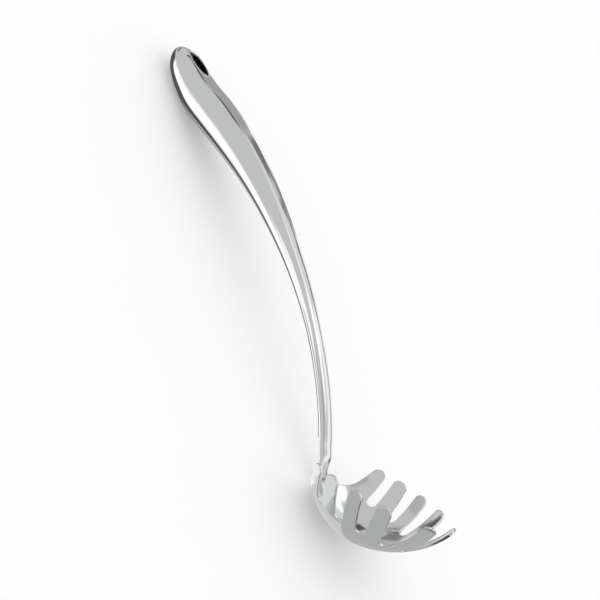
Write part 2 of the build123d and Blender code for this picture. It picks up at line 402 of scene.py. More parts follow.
inset = onto_egg(outline - edge_out * edge_round, edge_normal)
loop = disc_of(inset)
rows = np.arange(-fill_reach, fill_reach, fill_step * math.sqrt(3) / 2)
grid = np.array([(x + (i % 2) * fill_step / 2, y) for i, y in enumerate(rows)
                 for x in np.arange(-fill_reach, fill_reach, fill_step)])
grid = grid[inside(loop, grid)]
loop_tree = kdtree.KDTree(len(loop))
for i, place in enumerate(loop):
    loop_tree.insert((place[0], place[1], 0), i)
loop_tree.balance()
far_enough = [loop_tree.find((x, y, 0))[2] > fill_step * rim_clear_share for x, y in grid]
disc = np.concatenate([loop, grid[far_enough]])
filled = geometry.delaunay_2d_cdt(
    [Vector(p) for p in disc], [], [list(range(len(loop)))], keep_inside, merge_within)
triangles = np.array(filled[2])
disc = np.array([tuple(p) for p in filled[0]])
origin = [ids[0] if ids else -1 for ids in filled[3]]
print("sheet points:", len(disc), "triangles:", len(triangles))

# %% Both faces of the sheet
middle = egg_of(disc)
for new, old in enumerate(origin):
    if 0 <= old < len(inset):
        middle[new] = inset[old]
normal = egg_normal(middle)
place_of = {old: new for new, old in enumerate(origin) if 0 <= old < len(inset)}
corner_a = middle[triangles[:, 1]] - middle[triangles[:, 0]]
corner_b = middle[triangles[:, 2]] - middle[triangles[:, 0]]
outward = (np.cross(corner_a, corner_b) * normal[triangles[:, 0]]).sum(1) > 0
triangles[~outward] = triangles[~outward][:, ::-1]

count = len(middle)
points = [middle + normal * sheet / 2, middle - normal * sheet / 2]
normals = [normal, -normal]
faces = [tuple(t) for t in triangles] + [tuple(t[::-1] + count) for t in triangles]
print("faces inside and outside:", len(faces))

# %% The polished edge
# Height over the middle surface, way out and angle of the normal, over the first rounded corner
edge_angles = np.radians([15, 35, 55, 75, 90])
half_flat = sheet / 2 - edge_round
profile = [(half_flat + edge_round * math.cos(turn), edge_round * math.sin(turn) - edge_round, turn)
           for turn in edge_angles]
profile += [(-over, out, math.pi - angle) for over, out, angle in profile[::-1]]
for over, out, angle in profile:
    points.append(outline + edge_normal * over + edge_out * out)
    normals.append(edge_normal * math.cos(angle) + edge_out * math.sin(angle))
size = len(outline)
edge_rings = [[place_of[i] for i in range(size)]]
edge_rings += [[2 * count + r * size + i for i in range(size)] for r in range(len(profile))]
edge_rings.append([place_of[i] + count for i in range(size)])
for ring_a, ring_b in zip(edge_rings, edge_rings[1:]):
    for i in range(size):
        j = (i + 1) % size
        faces.append((ring_a[i], ring_a[j], ring_b[j], ring_b[i]))
points, normals = np.concatenate(points), np.concatenate(normals)
a, b, c = (points[faces[-1][k]] for k in (0, 1, 2))
if np.dot(np.cross(b - a, c - a), normals[faces[-1][0]]) < 0:
    strip = len(triangles) * 2
    faces[strip:] = [face[::-1] for face in faces[strip:]]
print("rings over the edge:", len(edge_rings), "faces with the edge:", len(faces))

# %% Lay the bowl where its solid is
solid_low, solid_high = (np.array(corner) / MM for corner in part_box("bowl"))
spread = turned(points)
lie_shift = (solid_low + solid_high) / 2 - (spread.min(0) + spread.max(0)) / 2
bowl_shell = steel_mesh("pressed_bowl", points, faces, normals)
print("bowl size mm:", np.round(np.ptp(spread, axis=0), 2))
print("solid bowl mm:", np.round(solid_high - solid_low, 2))
print("lie shift mm:", np.round(lie_shift, 3))

# %% [markdown]
# ## One axis for handle and neck
#
# The handle and the neck are one sweep along one curved axis. Its section is a round back with
# two easy sides and a narrow front band, and it swells, narrows and turns oval on the way down.
# A bevelled curve could be swept along the axis, but it would keep one section. Rings are stood
# on the axis instead, and every size is a smooth spline of the distance along it, so the mirror
# shows no ripple.


# %% Smooth curve through values
def spline(knots, values, places, start=None, end=None):
    """Cubic spline, with free ends or with given slopes there."""
    knots, values = np.asarray(knots, float), np.asarray(values, float)
    shape = values.shape[1:]
    values = values.reshape(len(knots), -1)
    gap = np.diff(knots)
    rise = np.diff(values, axis=0) / gap[:, None]
    system, right = np.zeros((len(knots), len(knots))), np.zeros_like(values)
    for i in range(1, len(knots) - 1):
        system[i, i - 1 : i + 2] = gap[i], 2 * (gap[i - 1] + gap[i]), gap[i - 1]
        right[i] = 3 * (gap[i] * rise[i - 1] + gap[i - 1] * rise[i])
    system[0, :2], right[0] = ((2, 1), 3 * rise[0]) if start is None else ((1, 0), start)
    system[-1, -2:], right[-1] = ((1, 2), 3 * rise[-1]) if end is None else ((0, 1), end)
    slope = np.linalg.solve(system, right)
    places = np.asarray(places, float)
    i = np.clip(np.searchsorted(knots, places) - 1, 0, len(knots) - 2)
    h = gap[i][:, None]
    s = ((places - knots[i]) / gap[i])[:, None]
    low, high = values[i], values[i + 1]
    found = low * (1 + 2 * s) * (1 - s) ** 2 + slope[i] * h * s * (1 - s) ** 2
    found += high * s**2 * (3 - 2 * s) - slope[i + 1] * h * s**2 * (1 - s)
    return found.reshape(places.shape + shape)


# %% Axis of handle and neck
handle_reach = 218.0
handle_rise = 199.5
axis_shares = np.array([
    (1.0, 1.0), (0.913, 0.9), (0.866, 0.859), (0.815, 0.8245), (0.674, 0.722),
    (0.484, 0.541), (0.2716, 0.246), (0.1936, 0.0657), (0.166, -0.035)])
axis_tip_fall, axis_neck_fall = math.radians(46.5), math.radians(76.5)
axis_samples = 4001
sideways = np.array([0, 1.0, 0])

axis_points = axis_shares * (-handle_reach, handle_rise)
chord = np.concatenate([[0], np.cumsum(np.linalg.norm(np.diff(axis_points, axis=0), axis=1))])
fine = np.linspace(0, chord[-1], axis_samples)
axis_line = spline(chord, axis_points, fine,
                   (math.cos(axis_tip_fall), -math.sin(axis_tip_fall)),
                   (math.cos(axis_neck_fall), -math.sin(axis_neck_fall)))
axis_run = np.concatenate([[0], np.cumsum(np.linalg.norm(np.diff(axis_line, axis=0), axis=1))])
axis_length = axis_run[-1]
print("axis length mm:", round(float(axis_length), 2))


def station(distance):
    """Centre, direction along the axis and direction to the front, at distances from the tip."""
    places = np.interp(distance, axis_run, np.arange(len(axis_run)))
    x, z = (np.interp(places, np.arange(len(axis_run)), axis_line[:, k]) for k in (0, 1))
    flow = np.gradient(axis_line, axis=0)
    flow /= np.linalg.norm(flow, axis=1, keepdims=True)
    along_x, along_z = (np.interp(places, np.arange(len(axis_run)), flow[:, k]) for k in (0, 1))
    zero = np.zeros_like(x)
    return (np.stack([x, zero, z], -1), np.stack([along_x, zero, along_z], -1),
            np.stack([-along_z, zero, along_x], -1))


# %% [markdown]
# The stations give thickness, width, band and lean as shares of the largest. They are laid out
# over the square root of the distance, because a rounded end grows like a square root. The
# crease between band and side is rounded over a millimetre or so by polishing.

# %% Sections of handle and neck
handle_thickness = 22.7
handle_width = 27.2
handle_sheet = 1.0
band_width = 11.0
crease_lean = math.radians(38.0)
ease_share = 0.55
crease_reach = 1.5
band_limit_share, crease_limit_share = 0.8, 0.8
# Share of the axis, then thickness, width, band and lean, each as a share of its largest
stations = np.array([
    (0.0, 0.0, 0.0, 0.2, 0.25),
    (0.0053, 0.291, 0.291, 0.2, 0.25), (0.0213, 0.564, 0.565, 0.35, 0.4),
    (0.0497, 0.784, 0.785, 0.7, 0.7), (0.0977, 0.899, 0.9, 0.95, 1.0),
    (0.1439, 0.9736, 0.975, 1.0, 1.0), (0.19, 1.0, 1.0, 1.0, 1.0),
    (0.247, 0.969, 0.97, 0.95, 0.95), (0.3215, 0.872, 0.873, 0.8, 0.8),
    (0.4085, 0.714, 0.734, 0.6, 0.6), (0.515, 0.546, 0.574, 0.42, 0.4),
    (0.639, 0.389, 0.417, 0.28, 0.2), (0.7815, 0.295, 0.32, 0.12, 0.05),
    (0.855, 0.2786, 0.3075, 0.09, 0.02), (0.928, 0.2731, 0.3015, 0.07, 0.0),
    (1.0, 0.2677, 0.3015, 0.05, 0.0)])
joint_share = 0.7815
nose_share = 0.0213
flank_steps, crease_steps, band_steps, back_steps = 16, 7, 3, 44


# %% One section after the other
def bezier(corners, share):
    """Points of the Bezier curves with these corners, each corner an array over the stations."""
    corners = [c[:, None, :] for c in corners]
    while len(corners) > 1:
        corners = [a + (b - a) * share[..., None] for a, b in zip(corners, corners[1:])]
    return corners[0]


def sections(shares):
    """Closed sections at shares of the axis: a half front in profile, mirrored, then the back."""
    values = spline(np.sqrt(stations[:, 0]), stations[:, 1:], np.sqrt(shares))
    front = values[:, 0] * handle_thickness / 2
    side = values[:, 1] * handle_width / 2
    edge = np.minimum(values[:, 2] * band_width / 2, side * band_limit_share)
    lean = values[:, 3] * crease_lean
    reach = (side - edge) * ease_share
    zero = np.zeros_like(side)
    corner = np.stack([edge, front], 1)
    pull = np.stack([edge + reach, front - reach * np.tan(lean)], 1)
    flank = [np.stack([side, zero], 1), np.stack([side, front * ease_share], 1), pull, corner]
    radius = np.minimum(crease_reach, np.minimum(edge, reach) * crease_limit_share)
    # Near its end a cubic Bezier curve runs 3 times as far as its last leg, per share
    stop = 1 - radius / (3 * np.linalg.norm(corner - pull, axis=1))
    rise = bezier(flank, np.linspace(0, 1, flank_steps + 1)[None] * stop[:, None])
    turn = np.linspace(0, 1, crease_steps + 1)[None, 1:] + zero[:, None]
    bend = bezier([rise[:, -1], corner, corner - np.stack([radius, zero], 1)], turn)
    level = np.linspace(1, 0, band_steps + 1)[None, 1:, None]
    band = bend[:, -1:] * level * (1, 0) + bend[:, -1:] * (0, 1)
    half_front = np.concatenate([rise, bend, band], 1)
    other = half_front[:, -2::-1] * (-1, 1)
    angle = np.linspace(math.pi, 2 * math.pi, back_steps + 1)[1:-1]
    back = np.stack([side[:, None] * np.cos(angle), front[:, None] * np.sin(angle)], -1)
    return np.concatenate([half_front, other, back], 1)


def rings(shares):
    """The sections, stood on the axis."""
    centre, along, front = station(shares * axis_length)
    flat = sections(shares)
    return centre[:, None] + flat[..., :1] * sideways + flat[..., 1:] * front[:, None]


joint_run = float(joint_share * axis_length)
print("stations along the axis:", len(stations), "joint at mm:", round(joint_run, 1))

# %% [markdown]
# A grid's normal is the cross product of its two directions. Uneven steps are weighted, so the
# normal stays true where the steps change size at the creases. The same rows of faces join the
# rings of the handle, the sleeve, the neck and later the studio tent.

# %% Faces and normals of a grid of rings
tiny, tiny_area = 1e-9, 1e-12


def ring_faces(rows, size, closed=False):
    """Faces between rings that close on themselves. Closed also joins the last to the first."""
    faces = []
    for row in range(rows if closed else rows - 1):
        here, there = row * size, (row + 1) % rows * size
        for i in range(size):
            j = (i + 1) % size
            faces.append((here + i, here + j, there + j, there + i))
    return faces


def steps_slope(before, after):
    """Direction at a point between two steps, where the shorter step weighs more."""
    before_length = np.linalg.norm(before, axis=-1, keepdims=True)
    after_length = np.linalg.norm(after, axis=-1, keepdims=True)
    return (after * before_length / np.maximum(after_length, tiny)
            + before * after_length / np.maximum(before_length, tiny))


def grid_normals(grid):
    """Normals of rings that close on themselves, pointing out."""
    ahead, behind = np.roll(grid, -1, 1) - grid, grid - np.roll(grid, 1, 1)
    around = steps_slope(behind, ahead)
    step = np.diff(grid, axis=0)
    down = np.concatenate([step[:1], steps_slope(step[:-1], step[1:]), step[-1:]])
    normal = np.cross(down, around)
    normal /= np.maximum(np.linalg.norm(normal, axis=-1, keepdims=True), tiny_area)
    outward = grid - grid.mean(1, keepdims=True)
    return normal * np.sign((normal * outward).sum())


# %% Handle surface
handle_rows = 300
first_root, spare_share = 0.006, 0.01
joint_gap_share, steering_share = 0.001, 0.004

# Even steps of the share's square root put the rows close together at the round tip. One spare
# row past the joint steers the normals there
row_share = np.linspace(first_root, math.sqrt(joint_share + spare_share), handle_rows) ** 2
row_share = row_share[row_share < joint_share - joint_gap_share]
nose_row = int(np.argmax(row_share > nose_share))
row_share = np.concatenate([row_share, [joint_share, joint_share + steering_share]])
handle_grid = rings(row_share)
handle_normal = grid_normals(handle_grid)
handle_grid, handle_normal = handle_grid[:-1], handle_normal[:-1]
handle_inner = handle_grid - handle_normal * handle_sheet
seam = 2 * (flank_steps + crease_steps + band_steps)
ring_size = handle_grid.shape[1]
handle_size = np.ptp(turned(handle_grid.reshape(-1, 3)), axis=0)
print("handle grid:", handle_grid.shape, "size mm:", np.round(handle_size, 2))

# %% [markdown]
# ## Two half shells
#
# The hollow handle is welded from two pressed halves, so it is two meshes here. The seam is
# ground and polished away on the real handle, so both take their corners and normals from the
# one surface, and no line shows between them. Each half has an inside too, because the hole lets
# one look in. The back half also carries the closed nose.


# %% Shell faces
def half_shell(columns, closed_nose):
    """Corners and faces of one half shell: outside, inside and the edges that join them."""
    rows = len(handle_grid)
    last = rows - 1

    def out(r, v):
        return r * ring_size + v % ring_size

    def within(r, v):
        return rows * ring_size + out(r, v)

    faces = []
    for r in range(nose_row, last):
        for v in columns:
            faces.append((out(r, v), out(r, v + 1), out(r + 1, v + 1), out(r + 1, v)))
            faces.append((within(r, v), within(r + 1, v), within(r + 1, v + 1), within(r, v + 1)))
        start, stop = columns[0], columns[-1] + 1
        faces.append((out(r, start), out(r + 1, start), within(r + 1, start), within(r, start)))
        faces.append((out(r, stop), within(r, stop), within(r + 1, stop), out(r + 1, stop)))
    for v in columns:
        faces.append((out(last, v), out(last, v + 1), within(last, v + 1), within(last, v)))
    corners = np.concatenate([handle_grid.reshape(-1, 3), handle_inner.reshape(-1, 3)])
    if closed_nose:
        for r in range(nose_row):
            for v in range(ring_size):
                faces.append((out(r, v), out(r, v + 1), out(r + 1, v + 1), out(r + 1, v)))
        pole = len(corners)
        corners = np.concatenate([corners, station(np.array([0.0]))[0]])
        for v in range(ring_size):
            faces.append((pole, out(0, v + 1), out(0, v)))
        for v in range(ring_size):
            if v not in columns:
                faces.append((out(nose_row, v), out(nose_row, v + 1),
                              within(nose_row, v + 1), within(nose_row, v)))
        bulkhead = len(corners)
        corners = np.concatenate([corners, [handle_inner[nose_row].mean(0)]])
        for v in range(ring_size):
            faces.append((bulkhead, within(nose_row, v), within(nose_row, v + 1)))
    else:
        for v in columns:
            faces.append((out(nose_row, v), within(nose_row, v),
                          within(nose_row, v + 1), out(nose_row, v + 1)))
    used = sorted({i for f in faces for i in f})
    place = {old: new for new, old in enumerate(used)}
    return corners[used], [tuple(place[i] for i in f) for f in faces]


# %% The two halves
front_half = steel_mesh("handle_front_half", *half_shell(range(seam), closed_nose=False))
back_half = steel_mesh("handle_back_half", *half_shell(range(seam, ring_size), closed_nose=True))
print("faces, front and back:", len(front_half.data.polygons), len(back_half.data.polygons))

# %% [markdown]
# ## The hanging hole
#
# The server hangs from a hook by this hole. It is a long ellipse cut right through both halves,
# a little off square to the axis. A Boolean modifier cuts it, because that finds the curved edge
# by itself. It loses the exact normals, so they are looked up again on the uncut surface.

# %% Hole size and place
hole_length = 24.0
hole_width = 10.5
hole_from_tip = 21.5
hole_turn = math.radians(15.0)
sleeve_wall = 0.9
hole_reach = 30.0
spokes = 128

hole_centre, hole_along, hole_front = (way[0] for way in station(np.array([hole_from_tip])))
hole_way = hole_front * math.cos(hole_turn) - hole_along * math.sin(hole_turn)
hole_up = np.cross(hole_way, sideways)
hole_angles = np.linspace(0, 2 * math.pi, spokes + 1)[:-1]


def hole_ring(inset, height):
    """Ellipse set in from the hole's edge, at heights along the hole's way."""
    height = np.broadcast_to(height, hole_angles.shape)[:, None]
    wide, long = hole_width / 2 - inset, hole_length / 2 - inset
    return (hole_centre + wide * np.cos(hole_angles)[:, None] * sideways
            + long * np.sin(hole_angles)[:, None] * hole_up + height * hole_way)


print("hole centre mm:", np.round(hole_centre, 1), "size mm:", hole_length, "by", hole_width)

# %% The cutter
cutter_faces = ring_faces(2, spokes)
cutter_faces += [tuple(range(spokes))[::-1], tuple(range(spokes, 2 * spokes))]
cutter_ends = [hole_ring(0, -hole_reach), hole_ring(0, hole_reach)]
cutter = steel_mesh("hole_cutter", np.concatenate(cutter_ends), cutter_faces)
print("cutter faces:", len(cutter_faces))

# %% Look up the uncut surface
# A face is on the skin if it looks its way, by this cosine, with corners no further off than this
facing_least, skin_slack = 0.6, 0.4 * MM
same_place, neighbours = 1e-6, 3

surface_points = laid(handle_grid.reshape(-1, 3))
surface_normals = turned(handle_normal.reshape(-1, 3))
surface_tree = kdtree.KDTree(len(surface_points))
for i, place in enumerate(surface_points):
    surface_tree.insert(place, i)
surface_tree.balance()


def surface_normal(place):
    """Normal of the uncut handle at a point on it."""
    found = surface_tree.find_n(place, neighbours)
    if found[0][2] < same_place:
        return Vector(surface_normals[found[0][1]])
    total = Vector((0, 0, 0))
    for _, index, distance in found:
        total += Vector(surface_normals[index]) / distance
    return total.normalized()


def on_skin(mesh, face, way):
    """Whether a face looks along the handle's normal and has all its corners on the skin."""
    if face.normal.dot(way) <= facing_least:
        return False
    corners = [mesh.vertices[i].co for i in face.vertices]
    return all(abs((c - surface_tree.find(c)[0]).dot(way)) < skin_slack for c in corners)


# %% Cut both halves
def cut_and_smooth(piece):
    """Cuts the hole and gives the outside its exact normals back."""
    # The Boolean needs faces that all look out, which bmesh sees to
    mesh_tool = bmesh.new()
    mesh_tool.from_mesh(piece.data)
    bmesh.ops.recalc_face_normals(mesh_tool, faces=mesh_tool.faces)
    mesh_tool.to_mesh(piece.data)
    mesh_tool.free()
    cut = piece.modifiers.new("hanging hole", "BOOLEAN")
    cut.operation, cut.solver, cut.object = "DIFFERENCE", "EXACT", cutter
    shown = piece.evaluated_get(bpy.context.evaluated_depsgraph_get())
    mesh = bpy.data.meshes.new_from_object(shown)
    piece.modifiers.clear()
    piece.data = mesh
    mesh.shade_smooth()
    normals = [None] * len(mesh.loops)
    outer = 0
    for face in mesh.polygons:
        smooth = on_skin(mesh, face, surface_normal(face.center))
        outer += smooth
        for corner, i in zip(face.loop_indices, face.vertices):
            normals[corner] = surface_normal(mesh.vertices[i].co) if smooth else face.normal
    mesh.normals_split_custom_set([tuple(n) for n in normals])
    print(piece.name, "faces:", len(mesh.polygons), "outside:", outer)


for piece in (front_half, back_half):
    cut_and_smooth(piece)
bpy.data.objects.remove(cutter)

# %% [markdown]
# ## The hole's sleeve
#
# A short oval tube lines the hole and closes the hollow handle there. Its two lips stand a
# quarter of a millimetre proud, as a polished weld does, and follow the handle's skin. A plain
# tube would stand out at one side and sink in at the other, so rays along the hole find how high
# the skin is all the way round, and the lips are shaped to that.

# %% Skin heights round the hole
lip_over = 0.12
lip_proud = 0.28
skin = BVHTree.FromPolygons([tuple(point) for point in handle_grid.reshape(-1, 3)],
                            ring_faces(len(handle_grid), ring_size))


def skin_heights(inset, side):
    """Heights of the handle's skin along the hole, on its front (1) or back (-1)."""
    starts = hole_ring(inset, side * hole_reach)
    reach = [skin.ray_cast(Vector(s), Vector(-side * hole_way))[3] for s in starts]
    return side * (hole_reach - np.array(reach))


print("skin's height at the hole's front, mm:", np.round(skin_heights(0, 1)[::16], 2))

# %% Sleeve
lip_points, bore_points = 11, 14

lip_turn = np.linspace(0, math.pi, lip_points)
lip_inset = (sleeve_wall - lip_over) / 2 - (sleeve_wall + lip_over) / 2 * np.cos(lip_turn)
sleeve_rings = []
for side in (1, -1):
    low, high = skin_heights(-lip_over, side), skin_heights(sleeve_wall, side)
    share = (lip_inset + lip_over) / (sleeve_wall + lip_over)
    lips = [hole_ring(inset, low + (high - low) * s + side * lip_proud * math.sin(t))
            for inset, s, t in zip(lip_inset, share, lip_turn)]
    sleeve_rings.append(lips)
bore = [sleeve_rings[0][-1] + (sleeve_rings[1][-1] - sleeve_rings[0][-1]) * s
        for s in np.linspace(0, 1, bore_points)[1:-1]]
sleeve_grid = sleeve_rings[0] + bore + sleeve_rings[1][::-1]
sleeve = steel_mesh("hanging_hole_sleeve", np.concatenate(sleeve_grid),
                    ring_faces(len(sleeve_grid), spokes, closed=True))
print("sleeve rings:", len(sleeve_grid))

# %% [markdown]
# ## Neck and leaf
#
# Below the joint the same sweep goes on as the forged neck. At the bowl it thins out and is
# beaten flat into a leaf that hugs the rear wall, where it is welded on. A straight sweep pushed
# into the wall would leave a sharp dark line where they meet. The last sections are therefore
# laid on the wall's own surface, and a spline skin runs through all of them.

# %% Neck sections
leaf = 2.0
leaf_bury = 0.05
leaf_width = 13.4
leaf_end = 33.5
neck_width = 8.2
shoulder_top, shoulder_foot = 10.0, 23.0
shoulder_start, shoulder_sections = 13.0, 15
shoulder_swell = 3.6
# A section's power, 1 for an oval and less for a squarer one
leaf_square = 0.5
leaf_thinning, thinning_power = 0.9, 8
leaf_turns = np.radians([9, 18, 27, 36, 45, 54, 62, 69, 75, 80, 84, 87])
leaf_top = leaf - leaf_bury

# Level down the wall, thickness, width and power of each section
shoulder = []
for level in np.linspace(shoulder_start, leaf_end - leaf_width / 2, shoulder_sections):
    share = min((level - shoulder_top) / (shoulder_foot - shoulder_top), 1)
    ease = share**2 * (3 - 2 * share)
    shoulder.append((level, leaf_top + shoulder_swell * (1 - ease) ** 2,
                     neck_width + (leaf_width - neck_width) * ease, 1 - (1 - leaf_square) * ease))
for turn in leaf_turns:
    level = leaf_end - leaf_width / 2 * (1 - math.sin(turn))
    thickness = leaf_top - leaf_thinning * math.sin(turn) ** thinning_power
    shoulder.append((level, thickness, leaf_width * math.cos(turn), leaf_square))
print("sections on the wall:", len(shoulder), "from level", shoulder_start, "to", leaf_end)


# %% Sections that hug the wall
def hugging_section(level, thickness, width, square):
    """Section laid on the outside of the bowl's rear wall, as wide and thick as it is told."""
    flat = sections(np.array([1.0]))[0]
    flat = flat / np.abs(flat).max(0)
    angle = np.arctan2(flat[:, 1], flat[:, 0])
    wide = np.sign(np.cos(angle)) * np.abs(np.cos(angle)) ** square
    deep = np.sign(np.sin(angle)) * np.abs(np.sin(angle)) ** square
    lateral = wide * width / 2
    axes = np.array([bowl_rear_reach, bowl_half_width, bowl_depth]) + sheet / 2
    x = -axes[0] * np.sqrt(1 - (lateral / axes[1]) ** 2 - (level / axes[2]) ** 2)
    wall = np.stack([x, lateral, np.full_like(x, -level)], 1)
    outward = wall / axes**2
    outward /= np.linalg.norm(outward, axis=1, keepdims=True)
    return wall + outward * (leaf_top - thickness * (1 + deep) / 2)[:, None]


# %% Neck skin
lead_shares = (0.02, 0.01)
neck_sections = 14
rows_per_part = 90

# Two sections above the joint steer the skin there, and their rows are dropped again
lead = len(lead_shares)
neck_share = np.concatenate([[joint_share - share for share in lead_shares],
                             np.linspace(joint_share, 1, neck_sections)])
key_rings = np.concatenate([rings(neck_share), [hugging_section(*row) for row in shoulder]])
ring_gap = np.linalg.norm(np.diff(key_rings, axis=0), axis=-1).mean(1)
knots = np.concatenate([[0], np.cumsum(ring_gap)])
joint_knot, wall_knot = knots[lead], knots[len(neck_share)]
neck_at = np.concatenate([knots[:lead], np.linspace(joint_knot, wall_knot, rows_per_part),
                          np.linspace(wall_knot, knots[-1], rows_per_part + 1)[1:]])
neck_grid = spline(knots, key_rings, neck_at)
neck_normal = grid_normals(neck_grid)[lead:].reshape(-1, 3)
neck_grid = neck_grid[lead:]
neck_faces = ring_faces(len(neck_grid), ring_size)
neck_faces.append(tuple(range(ring_size)))
neck_faces.append(tuple((len(neck_grid) - 1) * ring_size + v for v in range(ring_size))[::-1])
neck_corners = neck_grid.reshape(-1, 3)
neck = steel_mesh("neck_and_leaf", neck_corners, neck_faces, neck_normal)
print("neck rings:", len(neck_grid), "size mm:", np.round(np.ptp(turned(neck_corners), axis=0), 2))

# %% [markdown]
# ## Polished stainless steel
#
# All pieces are 18/10 stainless steel, a chrome-nickel steel that polishes to a neutral, slightly
# cool mirror. Metals have no colour of their own beyond what they reflect, so the finish is told
# by roughness and by a faint waviness that hand polishing leaves, a few millimetres across. One
# material could serve all pieces, but each was made and polished in its own way, and the small
# differences let the eye tell sheet from bar and tube.


# %% Colour and node helpers
def hex_colour(code):
    """sRGB hex to the linear colour that Blender's sockets take."""
    channels = [int(code[i : i + 2], 16) / 255 for i in (1, 3, 5)]
    linear = [c / 12.92 if c <= 0.04045 else ((c + 0.055) / 1.055) ** 2.4 for c in channels]
    return (*linear, 1.0)


def node(tree, kind, settings=(), **links):
    """Adds a node with its settings. Keyword arguments set or link its input sockets."""
    added = tree.nodes.new(kind)
    for key, value in dict(settings).items():
        setattr(added, key, value)
    for key, value in links.items():
        socket = added.inputs[key.replace("_", " ")]
        if isinstance(value, bpy.types.NodeSocket):
            tree.links.new(value, socket)
        else:
            socket.default_value = value
    return added


def bare_tree(owner):
    """The emptied node tree of a material or world."""
    owner.use_nodes = True
    owner.node_tree.nodes.clear()
    return owner.node_tree


# %% Steel finish
# A buff leaves patches about 6 mm across and four times as long, along the server. Real buffing
# lines are finer than a pixel, so only these patches show
buffing_mm = 6.0
buffing_stretch = (0.25, 1, 1)
# Blender's noise stays mostly between these values
noise_low, noise_high = 0.3, 0.7


def polished_steel(name, colour, low_rough, high_rough, wave_mm, wave_height):
    """Steel with a mirror of some softness, streaked by the buff, with waves given in mm."""
    material = bpy.data.materials.new(name)
    tree = bare_tree(material)
    place = node(tree, "ShaderNodeTexCoord").outputs["Object"]
    streak = node(tree, "ShaderNodeMapping", Vector=place, Scale=buffing_stretch).outputs[0]
    patches = node(tree, "ShaderNodeTexNoise", Vector=streak, Scale=1 / (buffing_mm * MM), Detail=3.0)
    rough = node(tree, "ShaderNodeMapRange", Value=patches.outputs[0], From_Min=noise_low,
                 From_Max=noise_high, To_Min=low_rough, To_Max=high_rough)
    waves = node(tree, "ShaderNodeTexNoise", Vector=place, Scale=1 / (wave_mm * MM), Detail=1.0)
    bump = node(tree, "ShaderNodeBump", Height=waves.outputs[0], Strength=1.0,
                Distance=wave_height * MM)
    steel = node(tree, "ShaderNodeBsdfPrincipled", Base_Color=hex_colour(colour), Metallic=1.0,
                 Roughness=rough.outputs[0], Normal=bump.outputs[0])
    node(tree, "ShaderNodeOutputMaterial", Surface=steel.outputs[0])
    return material


# %% Finishes
# Tumbled in a drum with its fingers cut: the softest mirror, with blurred reflections
bowl_steel = polished_steel("drum_polished_steel_sheet", "#E2E3E4", low_rough=0.09,
                            high_rough=0.14, wave_mm=9.0, wave_height=0.004)
# Forged, ground and buffed along its length: a mirror that drags its lights a little
bar_steel = polished_steel("ground_and_polished_steel_bar", "#E4E5E6", low_rough=0.07,
                           high_rough=0.11, wave_mm=8.0, wave_height=0.004)
# Pressed shells, buffed to a mirror after welding: sharp edges to every light and dark band
shell_steel = polished_steel("mirror_polished_steel_shell", "#E4E5E6", low_rough=0.05,
                             high_rough=0.08, wave_mm=14.0, wave_height=0.004)
# Drawn tube, hard to reach with a buff: a little duller and darker than the handle round it
tube_steel = polished_steel("polished_steel_tube", "#DEDFE0", low_rough=0.07,
                            high_rough=0.11, wave_mm=6.0, wave_height=0.002)

for piece, steel in ((bowl_shell, bowl_steel), (neck, bar_steel), (front_half, shell_steel),
                     (back_half, shell_steel), (sleeve, tube_steel)):
    piece.data.materials.clear()
    piece.data.materials.append(steel)
    print(piece.name, "is of", steel.name)

# %% [markdown]
# ## Each piece stands for its solid
#
# Every mesh rides on the body of its solid and takes the solid's place in the render, where
# the solid is hidden. Nothing on the server moves, so all of them ride on one body. How far each
# mesh leaves its solid's box is printed, which should be a few tenths of a millimetre.

# %% Ride and replace
for piece, solid, slot in (
    (bowl_shell, "bowl", "bowl_steel"),
    (neck, "neck_shank", "shank_steel"),
    (front_half, "handle_front_shell", "handle_steel"),
    (back_half, "handle_back_shell", "handle_steel"),
    (sleeve, "hang_hole_sleeve", "sleeve_steel"),
):
    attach(piece, "root")
    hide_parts(solid)
    low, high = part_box(solid)
    corners = np.array([corner.co for corner in piece.data.vertices])
    off_low, off_high = (corners.min(0) - low) / MM, (corners.max(0) - high) / MM
    print(piece.name, "off its solid's box by mm:", np.round(off_low, 2), np.round(off_high, 2))

# %% [markdown]
# ## Table and studio
#
# A mirror shows its surroundings, so the studio is most of the picture. The table and the sky
# are white and light the scene evenly. Round them hangs a studio tent that only reflections
# see: mid grey cloth, with white reflectors and narrow black flags. It gives the steel the soft
# bands and the thin dark lines that a product photographer puts there. Two dark panels low
# behind the handle are painted shade: the handle's own shadow on the table, as its reflection
# would show it, since the table itself is hidden from reflections.

# %% White table
table_half = 4.0

table_mesh = bpy.data.meshes.new("white_table")
quarters = ((-1, -1), (1, -1), (1, 1), (-1, 1))
table_corners = [(x * table_half, y * table_half, 0) for x, y in quarters]
table_mesh.from_pydata(table_corners, [], [(0, 1, 2, 3)])
table = placed("white_table", table_mesh)
# Melamine laminate pressed against a matt plate: even white with no shine, only a soft shadow
laminate = bpy.data.materials.new("matt_white_laminate")
tree = bare_tree(laminate)
top = node(tree, "ShaderNodeBsdfPrincipled", Base_Color=hex_colour("#FFFFFF"), Roughness=0.9)
node(tree, "ShaderNodeOutputMaterial", Surface=top.outputs[0])
table_mesh.materials.append(laminate)
table.visible_glossy = False
print("table reaches m:", table_half)

# %% White sky
world = bpy.data.worlds.new("white_studio")
bpy.context.scene.world = world
tree = bare_tree(world)
sky = node(tree, "ShaderNodeBackground", Color=hex_colour("#FFFFFF"), Strength=1.0)
node(tree, "ShaderNodeOutputWorld", Surface=sky.outputs[0])
print("sky:", world.name)

# %% [markdown]
# Each panel of the tent is given by the compass directions and heights that it spans, in
# degrees, by the softness of its edge, and by its brightness, where 1 is white paper. Compass
# zero is the way from the handle's end to the bowl. Later panels hang in front of earlier ones.
# Separate lamps could do it, but a mirror shows each lamp's shape, and a painted tent gives all
# the shapes in one mesh.

# %% Tent panels
cloth_level = 0.66
